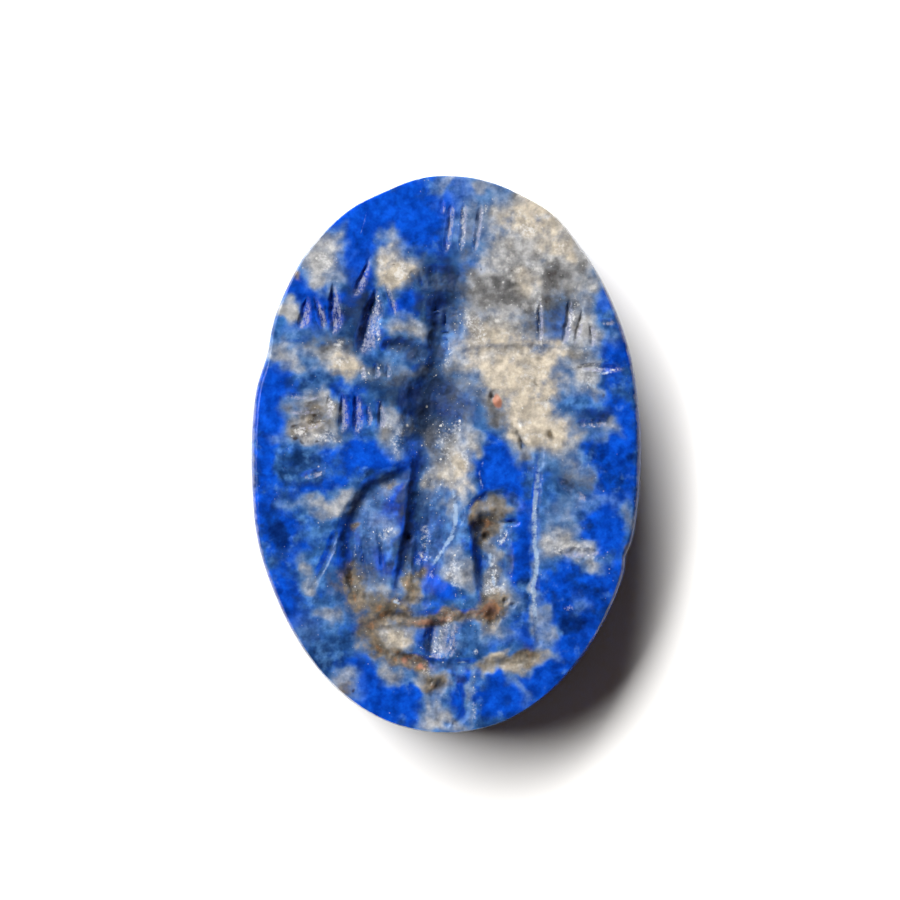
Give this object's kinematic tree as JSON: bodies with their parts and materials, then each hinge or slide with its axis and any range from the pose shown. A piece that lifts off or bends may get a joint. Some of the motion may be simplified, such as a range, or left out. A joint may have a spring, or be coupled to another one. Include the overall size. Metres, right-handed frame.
{
  "type": "engraved gem",
  "caption": "Oval lapis lazuli ring stone with a robed, plumed figure cut in intaglio into its flat face.",
  "frame": {"origin": "middle of the flat back, on the surface that the stone lies on", "axes": "+Z out of the engraved face, +Y towards the head of the engraved figure, +X to the right of someone who looks at the face"},
  "size_m": [0.0126, 0.018, 0.003],
  "materials": {
    "lapis_lazuli": "worn polish, mottled deep blue with grey and cream calcite, brown dirt in the cuts"
  },
  "bodies": {
    "root": {"engraved_gem": "lapis_lazuli"}
  },
  "joints": []
}
